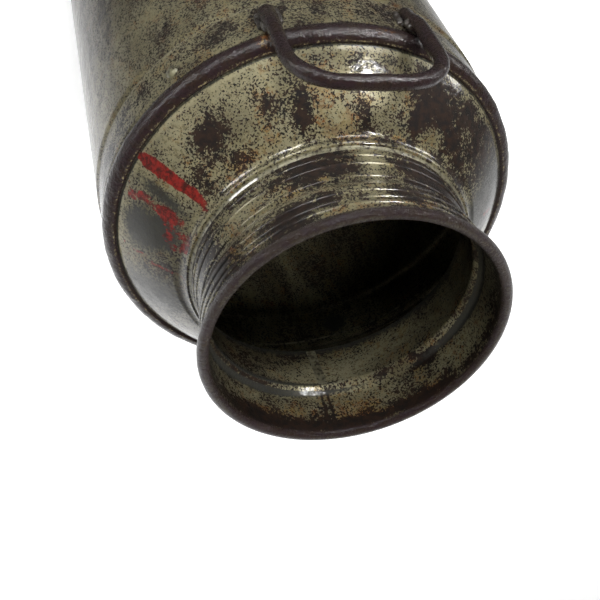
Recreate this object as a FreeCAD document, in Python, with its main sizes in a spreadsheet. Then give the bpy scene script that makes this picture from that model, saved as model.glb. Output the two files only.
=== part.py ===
"""Ten-gallon steel milk can, open at the mouth, as a parametric FreeCAD document.

The can stands upright on its foot hoop. +Z runs up the can's axis, the origin is the centre of the
foot at floor level, and the two carrying handles face -Y (front) and +Y (rear). Millimetres, degrees.
"""

import FreeCAD, Part
import math
import os

import Sketcher

OUT = "parts"

doc = FreeCAD.newDocument("milk_can")
sheet = doc.addObject("Spreadsheet::Sheet", "Sizes")

# ---------------------------------------------------------------- driving dimensions

DIMENSIONS = {
    # can as a whole
    "body_radius": 158.75,  # outside of the rolled body, a 12.5 inch can
    "rim_height": 618.0,  # centre of the rolled rim above the floor
    "sheet_thick": 1.2,  # steel sheet of the body, the pan and the breast
    "neck_thick": 1.5,  # heavier sheet of the neck and bowl
    "gap": 0.05,  # clearance between two pieces that touch all round
    # foot hoop
    "foot_height": 44.0,
    "foot_thick": 2.2,
    "toe_radius": 5.0,
    "toe_inset": 3.0,  # how far the toe's straight underside reaches inside the body
    "toe_step": 1.0,  # and how far it stops short of the band's outside
    "toe_neck": 0.6,  # height of the slope between the toe and the band
    "toe_lift": 1.0,  # the body's and the pan's lower edges stand this far above the toe
    "foot_bead": 2.6,
    # bottom pan
    "pan_height": 30.0,
    "pan_rise": 7.0,
    "pan_rim": 16.0,  # flat border of the pan, outside its dome
    "pan_corner": 3.6,
    # top of the body, necked in to take the breast's skirt
    "swage_height": 444.2,
    "swage_depth": 2.45,
    "swage_length": 3.5,
    "body_top": 476.0,
    # lap seams
    "seam_width": 12.0,
    "seam_rise": 0.7,
    "seam_start": 4.0,  # the body's seam begins this far above the foot hoop
    "seam_stop": 6.0,  # and ends this far below the swage
    "seam_bead_wide": 2.0,
    "seam_bead_rise": 0.5,
    "neck_strip_wide": 7.0,
    "neck_strip_rise": 0.45,
    # breast
    "skirt_bottom": 446.0,
    "corner_height": 477.5,
    "corner_radius": 149.0,
    "corner_top": 494.0,
    "corner_curve": 26.0,  # radius of the bend between skirt and slope
    "slope_curve": 170.0,  # radius of the slope's slight crown
    "collar_curve": 13.0,
    "collar_lip": 3.4,
    "collar_radius": 105.3,
    "collar_height": 540.5,
    "collar_top": 545.5,
    "collar_run": 8.0,  # how far the collar's fillet reaches down and out
    # half-round hoop over the breast's corner
    "hoop_low": 481.0,
    "hoop_low_radius": 156.96,
    "hoop_lip": 1.2,
    "hoop_lip_run": 1.92,
    "hoop_curve": 9.2,
    # neck and bowl
    "neck_bottom": 536.0,
    "neck_low_radius": 102.4,
    "neck_radius": 96.8,
    "neck_top": 576.5,
    "bowl_radius": 101.4,
    "bowl_bottom": 585.5,
    "roll_radius": 4.15,
    "curl_end": 252.0,  # where the curl's edge ends, in degrees round the wire
    "ridge_half": 1.6,
    "ridge_curve": 2.0,
    "ridge_sink": 0.1,
    "bowl_ridge_top": 603.0,
    "bowl_ridge_middle": 597.5,
    "bowl_ridge_low": 590.5,
    "neck_ridge_top": 571.5,
    "neck_ridge_middle": 560.0,
    "neck_ridge_low": 552.5,
    # handles
    "rod_radius": 5.5,
    "handle_turn": -1.2,  # of both handles about the can's axis, a little off -Y and +Y
    "handle_reach": 158.0,
    "handle_half": 51.0,
    "grip_height": 557.4,
    "grip_corner": 32.0,
    "leg_low": 489.0,  # where the round rod begins to flatten
    "foot_low": 458.0,
    "foot_half_wide": 5.9,
    "foot_half_deep": 4.3,
    "foot_seat": 0.25,  # clearance between a foot and the skirt
    "foot_tip": 2.0,  # length of the foot's tapered tip
    "foot_pad": 10.0,  # the foot is flat up to here
    "foot_bend": 20.0,  # and nearly round again here
    "foot_bend_off": 1.3,
    "foot_angle": 17.9,  # of each foot from the handle's middle, about the can's axis
    "weld_radius": 2.5,
    # rivet that locks the hoop's joint
    "rivet_height": 469.3,
    "rivet_angle": -46.5,
    "rivet_head": 5.0,
    "rivet_rise": 2.8,
    "rivet_dome": 6.0,
    "rivet_shank": 2.0,
    "rivet_tail": 3.2,
    "rivet_tail_thick": 1.0,
}


class Size:
    """A number together with the spreadsheet formula that gives it."""

    def __init__(self, value, text):
        self.value = float(value)
        self.text = text

    @staticmethod
    def of(other):
        return other if isinstance(other, Size) else Size(other, f"{float(other):.6f}")

    def join(self, other, sign, value):
        return Size(value, f"({self.text} {sign} {Size.of(other).text})")

    def __add__(self, other):
        return self.join(other, "+", self.value + Size.of(other).value)

    def __sub__(self, other):
        return self.join(other, "-", self.value - Size.of(other).value)

    def __mul__(self, other):
        return self.join(other, "*", self.value * Size.of(other).value)

    def __truediv__(self, other):
        return self.join(other, "/", self.value / Size.of(other).value)


class Sizes:
    """The driving dimensions, each read back from its spreadsheet cell."""

    def __init__(self):
        for row, (name, value) in enumerate(DIMENSIONS.items(), start=1):
            sheet.set(f"A{row}", name)
            sheet.set(f"B{row}", str(value))
            sheet.setAlias(f"B{row}", name)
        doc.recompute()
        for name in DIMENSIONS:
            setattr(self, name, Size(sheet.get(name), f"Sizes.{name}"))


S = Sizes()
FULL_TURN = 360.0

# ---------------------------------------------------------------- sketch and feature helpers


def new_body(label):
    body = doc.addObject("PartDesign::Body", label)
    body.Label = label
    return body


def new_sketch(body, name, plane, offset):
    """A sketch on one of the body's own origin planes."""
    sketch = body.newObject("Sketcher::SketchObject", name)
    base = next(f for f in body.Origin.OriginFeatures if f.Role == plane)
    sketch.AttachmentSupport = [(base, "")]
    sketch.MapMode = "FlatFace"
    sketch.AttachmentOffset = offset
    return sketch


def turned(axis, angle, base=(0, 0, 0)):
    return FreeCAD.Placement(FreeCAD.Vector(*base), FreeCAD.Rotation(FreeCAD.Vector(*axis), angle))


def bind(sketch, kind, *where, size):
    """Adds a constraint and ties its value to the spreadsheet."""
    size = Size.of(size)
    index = sketch.addConstraint(Sketcher.Constraint(kind, *where, size.value))
    sketch.setExpression(f"Constraints[{index}]", size.text)


def arc_middle(start, end, radius, side):
    """The arc's half-way point; side 1 bulges to the left of the way from start to end."""
    chord = end - start
    half = chord.Length / 2
    rise = radius - math.sqrt(max(radius * radius - half * half, 0.0))
    left = FreeCAD.Vector(-chord.y, chord.x, 0).normalize()
    return (start + end) * 0.5 + left * (rise * side)


def draw(sketch, outline):
    """Draws a closed outline. An entry (x, y) is a straight run to that corner, and an entry
    (x, y, radius, side) an arc to it. Every corner and radius is tied to the spreadsheet."""
    corners = [FreeCAD.Vector(Size.of(e[0]).value, Size.of(e[1]).value, 0) for e in outline]
    for i, entry in enumerate(outline):
        start, end = corners[i - 1], corners[i]
        if len(entry) == 2:
            sketch.addGeometry(Part.LineSegment(start, end))
        else:
            middle = arc_middle(start, end, Size.of(entry[2]).value, entry[3])
            sketch.addGeometry(Part.Arc(start, middle, end))
    for i, entry in enumerate(outline):
        # a sketch's arcs all run anticlockwise, so one that bulges left has its two ends swapped
        follower = outline[(i + 1) % len(outline)]
        last = 1 if len(entry) == 4 and entry[3] > 0 else 2
        first = 2 if len(follower) == 4 and follower[3] > 0 else 1
        sketch.addConstraint(Sketcher.Constraint("Coincident", i, last, (i + 1) % len(outline), first))
        bind(sketch, "DistanceX", -1, 1, i, last, size=entry[0])
        bind(sketch, "DistanceY", -1, 1, i, last, size=entry[1])
        if len(entry) == 4:
            bind(sketch, "Radius", i, size=entry[2])


def degrees_wide(length, radius):
    """The angle that a length takes up on a circle."""
    ratio = length / radius
    return Size(math.degrees(ratio.value), f"({ratio.text} * 180 / pi)")


def revolve(body, name, outline, angle=FULL_TURN, turn=0.0):
    """Turns an outline of (radius, height) corners about the can's axis, or a part of the way
    round it, half to each side of the angle turn."""
    sketch = new_sketch(body, name + "_outline", "XZ_Plane", turned((0, 1, 0), turn))
    draw(sketch, outline)
    feature = body.newObject("PartDesign::Revolution", name)
    feature.Profile = sketch
    feature.ReferenceAxis = (sketch, ["V_Axis"])
    feature.setExpression("Angle", Size.of(angle).text)
    feature.Midplane = Size.of(angle).value < FULL_TURN
    return feature


def cut_rivet_hole(body):
    """The rivet's hole, from the axis outwards through the wall."""
    sketch = new_sketch(body, "rivet_hole_outline", "YZ_Plane", turned((0, 1, 0), S.rivet_angle.value))
    radius = S.rivet_shank + S.gap
    centre = FreeCAD.Vector(0, S.rivet_height.value, 0)
    sketch.addGeometry(Part.Circle(centre, FreeCAD.Vector(0, 0, 1), radius.value))
    bind(sketch, "DistanceX", -1, 1, 0, 3, size=0.0)
    bind(sketch, "DistanceY", -1, 1, 0, 3, size=S.rivet_height)
    bind(sketch, "Radius", 0, size=radius)
    doc.recompute()
    before = body.Shape.Volume
    pocket = body.newObject("PartDesign::Pocket", "rivet_hole")
    pocket.Profile = sketch
    pocket.setExpression("Length", (S.body_radius + S.rivet_rise).text)
    pocket.Reversed = True
    doc.recompute()
    if body.Shape.Volume >= before:
        raise RuntimeError(f"the rivet's hole cut nothing from {body.Label}")


def polar(radius, angle, height):
    """The point at a radius, an angle about +Z and a height."""
    turn = math.radians(angle)
    return FreeCAD.Vector(radius * math.cos(turn), radius * math.sin(turn), height)


# ---------------------------------------------------------------- derived sizes

body_inner = S.body_radius - S.sheet_thick
swage_radius = S.body_radius - S.swage_depth
skirt_inner = swage_radius + S.gap
skirt_radius = skirt_inner + S.sheet_thick
roll_centre = S.bowl_radius + S.roll_radius
wire_space = S.roll_radius - S.neck_thick
toe_height = S.toe_radius * 2
bowl_outer = S.bowl_radius + S.neck_thick
neck_slope = (S.neck_low_radius - S.neck_radius) / (S.neck_top - S.neck_bottom)

foot_edge = toe_height + S.toe_lift
seam_low = S.foot_height + S.seam_start
seam_high = S.swage_height - S.seam_stop

SEAM_ANGLE = 90.0  # every lap seam lies under the rear handle
LEAST_BEAD = 20.0  # mm3, splinters of weld metal below this are dropped


def neck_inside(height):
    """Inner radius of the neck, which widens downwards, at a height."""
    return S.neck_low_radius - (Size.of(height) - S.neck_bottom) * neck_slope


def neck_outside(height):
    return neck_inside(height) + S.neck_thick


# ---------------------------------------------------------------- body, bottom and foot


def make_body_shell():
    """Rolled body sheet, necked in at the top, with its lap seam standing proud."""
    body = new_body("body_shell")
    revolve(body, "wall", [
        (body_inner, foot_edge),
        (S.body_radius, foot_edge),
        (S.body_radius, S.swage_height - S.swage_length / 2),
        (swage_radius, S.swage_height + S.swage_length / 2),
        (swage_radius, S.body_top),
        (swage_radius - S.sheet_thick, S.body_top),
        (swage_radius - S.sheet_thick, S.swage_height),
        (body_inner, S.swage_height - S.swage_length),
    ])
    sunk = S.body_radius - S.sheet_thick / 2
    proud = S.body_radius + S.seam_rise
    lap = [(sunk, seam_low), (proud, seam_low), (proud, seam_high), (sunk, seam_high)]
    revolve(body, "lap", lap, degrees_wide(S.seam_width, S.body_radius), SEAM_ANGLE)
    cut_rivet_hole(body)
    return body


def make_bottom_pan():
    """Bottom: an inverted pan whose flange lines the foot of the body, domed a little upwards."""
    body = new_body("bottom_pan")
    wall = body_inner - S.gap
    inside = wall - S.sheet_thick
    edge = inside - S.pan_rim
    dome = (edge * edge + S.pan_rise * S.pan_rise) / (S.pan_rise * 2)
    under = S.pan_height - S.sheet_thick
    bend = S.pan_corner - S.sheet_thick
    revolve(body, "pan", [
        (0.0, under + S.pan_rise),
        (edge, under, dome, 1),
        (inside - bend, under),
        (inside, under - bend, bend, 1),
        (inside, foot_edge),
        (wall, foot_edge),
        (wall, S.pan_height - S.pan_corner),
        (wall - S.pan_corner, S.pan_height, S.pan_corner, -1),
        (edge, S.pan_height),
        (0.0, S.pan_height + S.pan_rise, dome, -1),
    ])
    return body


def make_bottom_hoop():
    """Foot hoop: a band round the body, with a heavy rolled toe below and a bead on its top edge."""
    body = new_body("bottom_hoop")
    inner = S.body_radius + S.gap
    outer = inner + S.foot_thick
    toe_inner = inner - S.toe_inset
    toe_outer = outer - S.toe_step
    revolve(body, "hoop", [
        (inner, toe_height + S.toe_neck),
        (toe_inner, toe_height),
        (toe_inner - S.toe_radius, S.toe_radius, S.toe_radius, -1),
        (toe_inner, 0.0, S.toe_radius, -1),
        (toe_outer, 0.0),
        (toe_outer + S.toe_radius, S.toe_radius, S.toe_radius, -1),
        (toe_outer, toe_height, S.toe_radius, -1),
        (outer, toe_height + S.toe_neck),
        (outer, S.foot_height - S.foot_bead * 2),
        (outer + S.foot_bead, S.foot_height - S.foot_bead, S.foot_bead, -1),
        (outer, S.foot_height, S.foot_bead, -1),
        (inner, S.foot_height),
    ])
    return body


# ---------------------------------------------------------------- breast, hoop and neck


def make_breast():
    """Breast: the sloping shoulder, from the skirt over the body's top to the collar round the neck."""
    body = new_body("breast")
    thick = S.sheet_thick
    foot_r = S.collar_radius + S.collar_run
    foot_z = S.collar_height - S.collar_run
    inner_low = S.collar_height - 1.5
    # on the slope the inner corners lie this part of the sheet's thickness in and down
    foot_in = thick * 0.7
    slope_in = thick * 0.8
    inner_collar_curve = S.collar_curve - 1.5
    inner_slope_curve = S.slope_curve - 1.0
    inner_corner_curve = S.corner_curve - 1.0
    revolve(body, "shoulder", [
        (skirt_inner, S.skirt_bottom),
        (skirt_radius, S.skirt_bottom),
        (skirt_radius, S.corner_height),
        (S.corner_radius, S.corner_top, S.corner_curve, -1),
        (foot_r, foot_z, S.slope_curve, -1),
        (S.collar_radius, S.collar_height, S.collar_curve, 1),
        (S.collar_radius, S.collar_top, S.collar_lip, -1),
        (neck_outside(S.collar_top) + S.gap, S.collar_top),
        (neck_outside(inner_low) + S.gap, inner_low),
        (foot_r - foot_in, foot_z - slope_in, inner_collar_curve, -1),
        (S.corner_radius - slope_in, S.corner_top - thick, inner_slope_curve, 1),
        (skirt_inner, S.corner_height - thick / 2, inner_corner_curve, 1),
    ])
    cut_rivet_hole(body)
    return body


def make_breast_hoop():
    """Breast hoop: a half-round bar shrunk over the corner where the skirt turns into the breast."""
    body = new_body("breast_hoop")
    top_r = S.corner_radius + S.gap
    top_z = S.corner_top + S.gap
    revolve(body, "hoop", [
        (S.hoop_low_radius, S.hoop_low, S.corner_curve + S.gap, 1),
        (top_r + S.hoop_lip_run, top_z + S.hoop_lip, S.hoop_curve, -1),
        (top_r, top_z),
    ])
    return body


def add_ridge(body, name, wall, height):
    """One turned ridge round the outside of the neck or bowl."""
    sunk = wall - S.neck_thick / 2
    base = wall - S.ridge_sink
    revolve(body, name, [
        (sunk, height - S.ridge_half),
        (base, height - S.ridge_half),
        (base, height + S.ridge_half, S.ridge_curve, -1),
        (sunk, height + S.ridge_half),
    ])


def make_neck_bowl():
    """Neck and bowl: one rolled sheet, curled over a wire at the rim, stepped in below the bowl."""
    body = new_body("neck_bowl")
    tail = math.radians(S.curl_end.value)
    tail_r = math.cos(tail)
    tail_z = math.sin(tail)
    # the step's corners on the outside sit a little lower than on the inside
    step_top = S.bowl_bottom - 0.6
    step_bottom = S.neck_top - 0.8
    revolve(body, "sheet", [
        (S.neck_low_radius, S.neck_bottom),
        (S.neck_radius, S.neck_top),
        (S.bowl_radius, S.bowl_bottom),
        (S.bowl_radius, S.rim_height),
        (roll_centre, S.rim_height + S.roll_radius, S.roll_radius, 1),
        (roll_centre + S.roll_radius, S.rim_height, S.roll_radius, 1),
        (roll_centre + S.roll_radius * tail_r, S.rim_height + S.roll_radius * tail_z, S.roll_radius, 1),
        (roll_centre + wire_space * tail_r, S.rim_height + wire_space * tail_z),
        (roll_centre + wire_space, S.rim_height, wire_space, -1),
        (roll_centre, S.rim_height + wire_space, wire_space, -1),
        (bowl_outer, S.rim_height, wire_space, -1),
        (bowl_outer, step_top),
        (S.neck_radius + S.neck_thick, step_bottom),
        (S.neck_low_radius + S.neck_thick, S.neck_bottom),
    ])
    for place in ("top", "middle", "low"):
        bowl_height = getattr(S, f"bowl_ridge_{place}")
        add_ridge(body, f"bowl_ridge_{place}", bowl_outer, bowl_height)
        neck_height = getattr(S, f"neck_ridge_{place}")
        add_ridge(body, f"neck_ridge_{place}", neck_outside(neck_height), neck_height)
    return body


def make_rim_wire():
    """Steel wire that the rim's curl is closed over."""
    wire = doc.addObject("Part::Torus", "rim_wire")
    wire.Label = "rim_wire"
    wire.setExpression("Radius1", roll_centre.text)
    wire.setExpression("Radius2", (wire_space - S.gap).text)
    wire.setExpression("Placement.Base.z", S.rim_height.text)
    return wire


# ---------------------------------------------------------------- rivet and solder


def make_hoop_rivet():
    """Dome-headed rivet through the skirt and the body, turned about its own radial axis."""
    body = new_body("hoop_rivet")
    offset = turned((0, 0, 1), S.rivet_angle.value, (0, 0, S.rivet_height.value))
    sketch = new_sketch(body, "rivet_outline", "XY_Plane", offset)
    tail = swage_radius - S.sheet_thick - S.gap
    end = tail - S.rivet_tail_thick
    seat = skirt_radius + S.gap
    draw(sketch, [
        (end, 0.0),
        (seat + S.rivet_rise, 0.0),
        (seat, S.rivet_head, S.rivet_dome, -1),
        (seat, S.rivet_shank),
        (tail, S.rivet_shank),
        (tail, S.rivet_tail),
        (end, S.rivet_tail),
    ])
    feature = body.newObject("PartDesign::Revolution", "rivet")
    feature.Profile = sketch
    feature.ReferenceAxis = (sketch, ["H_Axis"])
    return body


def make_neck_solder_outer():
    """Solder fillet on the collar's top edge."""
    body = new_body("neck_solder_outer")
    low = S.collar_top + S.gap
    waist = low + 0.9
    high = low + 2.4
    waist_wide = S.sheet_thick * 0.45
    revolve(body, "fillet", [
        (neck_outside(low) + S.gap, low),
        (neck_outside(low) + S.sheet_thick, low),
        (neck_outside(waist) + waist_wide, waist),
        (neck_outside(high) + S.gap, high),
    ])
    return body


def make_neck_solder_inner():
    """Solder under the neck's lower edge, inside the can."""
    body = new_body("neck_solder_inner")
    edge_in = 0.2  # the solder starts this far outside the neck's inner face
    high = S.neck_bottom - S.gap
    near = S.neck_low_radius + edge_in
    far = S.neck_low_radius + S.neck_thick
    shoulder_run = 1.2
    shoulder_drop = 1.6
    toe_run = 3.2
    toe_drop = 2.2
    revolve(body, "fillet", [
        (near, high),
        (near + shoulder_run, high - shoulder_drop),
        (near + toe_run, high - toe_drop),
        (far, high),
    ])
    return body


def make_skirt_solder():
    """Solder in the groove between the body's necked-in top and the breast's skirt."""
    body = new_body("skirt_solder")
    clear = 0.3  # from the swage's slope
    hollow = 3.0  # radius of the fillet's face
    high = S.skirt_bottom - S.gap
    revolve(body, "fill", [
        (swage_radius + clear, high),
        (S.body_radius - S.gap, S.swage_height - S.swage_length / 2 + clear),
        (skirt_radius, high, hollow, 1),
    ])
    return body


def make_breast_solder():
    """Solder on the body's top edge, inside the breast."""
    body = new_body("breast_solder")
    edge_in = 0.1  # the solder stops this far short of both faces of the body's sheet
    peak_in = 0.5
    peak_rise = 1.6
    low = S.body_top + S.gap
    revolve(body, "fill", [
        (swage_radius - S.sheet_thick + edge_in, low),
        (swage_radius - edge_in, low),
        (swage_radius - peak_in, low + peak_rise),
    ])
    return body


def make_pan_solder():
    """Solder between the pan's rounded corner and the body wall, inside the can."""
    body = new_body("pan_solder")
    clear = 0.2  # from the pan
    wall = body_inner - S.gap
    centre_r = wall - S.pan_corner
    centre_z = S.pan_height - S.pan_corner
    corner_off = S.pan_corner + clear
    root_rise = 1.5
    wall_rise = 2.6
    waist_rise = 0.9
    waist_in = S.pan_corner * 0.6
    outline = [
        (wall, centre_z + root_rise),
        (wall, S.pan_height + wall_rise),
        (wall - waist_in, S.pan_height + waist_rise),
        (centre_r, S.pan_height + clear),
    ]
    for turn in (67.5, 45.0):
        across = math.cos(math.radians(turn))
        up = math.sin(math.radians(turn))
        outline.append((centre_r + corner_off * across, centre_z + corner_off * up))
    revolve(body, "fillet", outline)
    return body


def make_body_seam_solder():
    """Solder line along the lap seam's outer edge."""
    body = new_body("body_seam_solder")
    inner = S.body_radius + S.gap
    outer = inner + S.seam_bead_rise
    bead = [(inner, seam_low), (outer, seam_low), (outer, seam_high), (inner, seam_high)]
    beside = degrees_wide((S.seam_width + S.seam_bead_wide) / 2 + S.gap * 2, S.body_radius)
    wide = degrees_wide(S.seam_bead_wide, S.body_radius)
    revolve(body, "line", bead, wide, SEAM_ANGLE + beside.value)
    return body


def make_neck_seam_solder():
    """Solder over the lap seam inside the neck, stopping below the bowl where a lid seats."""
    body = new_body("neck_seam_solder")
    near = S.gap
    far = S.gap + S.neck_strip_rise
    low = S.neck_bottom + 1.0
    high = S.neck_top - 0.5
    revolve(body, "strip", [
        (neck_inside(low) - near, low),
        (neck_inside(high) - near, high),
        (neck_inside(high) - far, high),
        (neck_inside(low) - far, low),
    ], degrees_wide(S.neck_strip_wide, S.neck_radius), SEAM_ANGLE)
    return body


# ---------------------------------------------------------------- handles and their welds


def section(half_wide, half_deep, angle, centre):
    """A level ring, half_wide across and half_deep towards the can's axis."""
    if half_wide == half_deep:
        edge = Part.Circle(FreeCAD.Vector(), FreeCAD.Vector(0, 0, 1), half_wide).toShape()
    else:
        edge = Part.Ellipse(FreeCAD.Vector(), half_wide, half_deep).toShape()
    edge.rotate(FreeCAD.Vector(), FreeCAD.Vector(0, 0, 1), angle + 90)
    edge.translate(centre)
    return Part.Wire([edge])


def handle_foot(middle, hand):
    """The leg's lower end: round at the top, bending in and hammered flat against the skirt."""
    angle = middle + hand * S.foot_angle.value
    seat = skirt_radius.value + S.foot_seat.value
    deep = S.foot_half_deep.value
    wide = S.foot_half_wide.value
    low = S.foot_low.value
    rod = S.rod_radius.value
    narrow = wide * 0.8
    thin = deep * 0.7
    tip = polar(seat + deep * 0.75, angle, low)
    pad_low = polar(seat + deep, angle, low + S.foot_tip.value)
    pad_high = polar(seat + deep, angle, low + S.foot_pad.value)
    bend = polar(seat + rod + S.foot_bend_off.value, angle, low + S.foot_bend.value)
    turn = math.radians(middle)
    out = FreeCAD.Vector(math.cos(turn), math.sin(turn), 0)
    across = FreeCAD.Vector(-math.sin(turn), math.cos(turn), 0)
    top = out * S.handle_reach.value + across * (hand * S.handle_half.value)
    top.z = S.leg_low.value
    return Part.makeLoft([
        section(narrow, thin, angle, tip),
        section(wide, deep, angle, pad_low),
        section(wide, deep, angle, pad_high),
        section(wide, rod * 0.9, angle, bend),
        section(rod, rod, angle, top),
    ], True)


def handle_rod(middle):
    """The round rod: up one leg, over the grip and down the other leg, all in one plane."""
    turn = math.radians(middle)
    out = FreeCAD.Vector(math.cos(turn), math.sin(turn), 0) * S.handle_reach.value
    across = FreeCAD.Vector(-math.sin(turn), math.cos(turn), 0)
    up = FreeCAD.Vector(0, 0, 1)
    half = S.handle_half.value
    corner = S.grip_corner.value
    low = S.leg_low.value
    high = S.grip_height.value
    diagonal = corner * (1 - math.sqrt(0.5))

    def point(x, z):
        return out + across * x + up * z

    path = Part.Wire([
        Part.LineSegment(point(-half, low), point(-half, high - corner)).toShape(),
        Part.Arc(point(-half, high - corner), point(-half + diagonal, high - diagonal),
                 point(-half + corner, high)).toShape(),
        Part.LineSegment(point(-half + corner, high), point(half - corner, high)).toShape(),
        Part.Arc(point(half - corner, high), point(half - diagonal, high - diagonal),
                 point(half, high - corner)).toShape(),
        Part.LineSegment(point(half, high - corner), point(half, low)).toShape(),
    ])
    rod = S.rod_radius.value
    return path.makePipeShell([section(rod, rod, middle, point(-half, low))], True, False)


def make_handle(label, middle):
    """Carrying handle: one bent rod, its two feet flattened for welding."""
    handle = doc.addObject("Part::Feature", label)
    handle.Label = label
    feet = [handle_foot(middle, hand) for hand in (-1, 1)]
    handle.Shape = handle_rod(middle).fuse(feet).removeSplitter()
    return handle


def capsule(start, end, radius):
    """A round-ended bar."""
    run = end - start
    bar = Part.makeCylinder(radius, run.Length, start, run)
    return bar.fuse([Part.makeSphere(radius, start), Part.makeSphere(radius, end)])


def make_weld(label, angle, neighbours):
    """Weld metal round one foot: a bead up each side, and a fillet between the leg and the hoop."""
    seat = skirt_radius.value
    corner = S.corner_height.value
    radius = S.weld_radius.value
    fillet_radius = radius * 1.6
    low = S.foot_low.value + radius
    high = corner - radius * 2
    off_low = 1.0
    off_high = 1.4
    fillet_low = polar(seat + radius * 1.7, angle, corner + 1.0)
    fillet_high = polar(seat + radius * 2.4, angle, corner + 6.5)
    metal = capsule(fillet_low, fillet_high, fillet_radius)
    for side in (-1, 1):
        beside = angle + side * math.degrees((S.foot_half_wide.value + radius * 0.2) / seat)
        bead = capsule(polar(seat + off_low, beside, low), polar(seat + off_high, beside, high), radius)
        metal = metal.fuse(bead)
    for neighbour in neighbours:
        metal = metal.cut(neighbour)
    weld = doc.addObject("Part::Feature", label)
    weld.Label = label
    weld.Shape = Part.makeCompound([s for s in metal.Solids if s.Volume > LEAST_BEAD])
    return weld


# ---------------------------------------------------------------- assembly


def build():
    """Makes every sub-part and returns them."""
    body_shell = make_body_shell()
    breast = make_breast()
    breast_hoop = make_breast_hoop()
    pieces = [body_shell, make_bottom_pan(), make_bottom_hoop(), breast, breast_hoop]
    pieces += [make_neck_bowl(), make_rim_wire(), make_hoop_rivet()]
    pieces += [make_neck_solder_outer(), make_neck_solder_inner(), make_skirt_solder()]
    pieces += [make_breast_solder(), make_pan_solder(), make_body_seam_solder()]
    pieces += [make_neck_seam_solder()]
    doc.recompute()
    for name, side_on in (("front", -90.0), ("rear", 90.0)):
        middle = side_on + S.handle_turn.value
        handle = make_handle(f"{name}_handle", middle)
        pieces.append(handle)
        neighbours = [handle.Shape, breast.Shape, breast_hoop.Shape, body_shell.Shape]
        for side, hand in (("left", -1), ("right", 1)):
            angle = middle + hand * S.foot_angle.value
            pieces.append(make_weld(f"{name}_{side}_weld", angle, neighbours))
    doc.recompute()
    return pieces


def check(pieces):
    """Stops if any object failed or any sub-part is empty or not valid."""
    for thing in doc.Objects:
        if "Invalid" in thing.State or "Error" in thing.State:
            raise RuntimeError(f"{thing.Label} did not build: {thing.State}")
    for piece in pieces:
        shape = piece.Shape
        if shape.isNull() or not shape.isValid() or not shape.Solids:
            raise RuntimeError(f"{piece.Label} has no valid solid")
        box = shape.optimalBoundingBox()
        print(f"{piece.Label}: {len(shape.Solids)} solid(s), {shape.Volume:.0f} mm3, {box}")


pieces = build()
check(pieces)
os.makedirs(OUT, exist_ok=True)
for piece in pieces:
    piece.Shape.exportStep(f"{OUT}/{piece.Label}.step")
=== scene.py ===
"""Looks of the old ten-gallon milk can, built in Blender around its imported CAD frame.

The sheet-metal pieces are turned again here as fine meshes with dents and ridges, the handles and welds
are made as hammered and melted metal, and every surface gets a stained, rusted or varnished finish.
Outlines are in millimetres, meshes in metres, and angles are in degrees about the can's axis from +X.
"""

import math

import bmesh
import bpy
import numpy as np
from mathutils import Matrix, Vector, noise


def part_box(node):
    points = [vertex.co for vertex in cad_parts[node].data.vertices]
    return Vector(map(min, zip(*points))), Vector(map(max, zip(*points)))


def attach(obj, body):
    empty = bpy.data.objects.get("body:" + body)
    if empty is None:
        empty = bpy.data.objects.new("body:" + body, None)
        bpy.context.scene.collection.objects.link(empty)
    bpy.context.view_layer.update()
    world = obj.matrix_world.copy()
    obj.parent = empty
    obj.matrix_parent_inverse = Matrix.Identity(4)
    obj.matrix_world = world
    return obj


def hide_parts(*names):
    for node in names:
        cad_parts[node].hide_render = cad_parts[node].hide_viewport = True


MM = 0.001

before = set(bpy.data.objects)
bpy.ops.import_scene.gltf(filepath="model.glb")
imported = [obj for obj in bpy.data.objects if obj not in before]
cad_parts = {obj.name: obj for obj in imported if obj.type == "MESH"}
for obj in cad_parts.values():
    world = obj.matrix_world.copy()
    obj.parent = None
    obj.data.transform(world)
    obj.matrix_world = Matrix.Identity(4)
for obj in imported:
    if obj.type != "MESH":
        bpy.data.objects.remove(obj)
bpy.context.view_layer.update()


def box_mm(node):
    """A CAD node's lowest and highest corner, in millimetres."""
    low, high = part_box(node)
    return low / MM, high / MM


# ---------------------------------------------------------------- sizes, in millimetres

# places and outer sizes are read from the frame; sheets, bends and steps are those of the CAD drawing
GAP = 0.05
SHEET = 1.2
NECK_SHEET = 1.5

body_low, body_high = box_mm("body_shell")
breast_low, breast_high = box_mm("breast")
hoop_low = box_mm("breast_hoop")[0]
neck_low, neck_high = box_mm("neck_bowl")
foot_high = box_mm("bottom_hoop")[1]
pan_low, pan_high = box_mm("bottom_pan")
handle_low, handle_high = box_mm("front_handle")
rivet_low, rivet_high = box_mm("hoop_rivet")

BODY_R = body_high.x
SKIRT_R = breast_high.x
SWAGE_R = SKIRT_R - SHEET - GAP
SKIRT_BOTTOM = breast_low.z
COLLAR_TOP = breast_high.z
NECK_BOTTOM = neck_low.z
RIM_R = neck_high.x
ROLL_R = 4.15
RIM_Z = neck_high.z - ROLL_R
ROLL_CENTRE = RIM_R - ROLL_R
BOWL_R = ROLL_CENTRE - ROLL_R
NECK_TOP = RIM_Z - 41.5
NECK_R = BOWL_R - 4.6
NECK_LOW_R = BOWL_R + 1.0
BOWL_RIDGES = (RIM_Z - 15.0, RIM_Z - 20.5, RIM_Z - 27.5)
NECK_RIDGES = (NECK_TOP - 5.0, NECK_TOP - 16.5, NECK_TOP - 24.0)
CORNER_Z = SKIRT_BOTTOM + 31.5
CORNER_TOP = CORNER_Z + 16.5
CORNER_R = SKIRT_R - 8.55
CORNER_CURVE = 26.0
SLOPE_CURVE = 170.0
COLLAR_R = BOWL_R + 3.9
COLLAR_Z = COLLAR_TOP - 5.0
COLLAR_CURVE = 13.0
COLLAR_LIP = 3.4
HOOP_LOW_R = SKIRT_R - 0.6
HOOP_CURVE = 9.2
ROD_R = 5.5
GRIP_Z = handle_high.z - ROD_R
HANDLE_TURN = -1.2
REACH = 158.0
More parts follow.
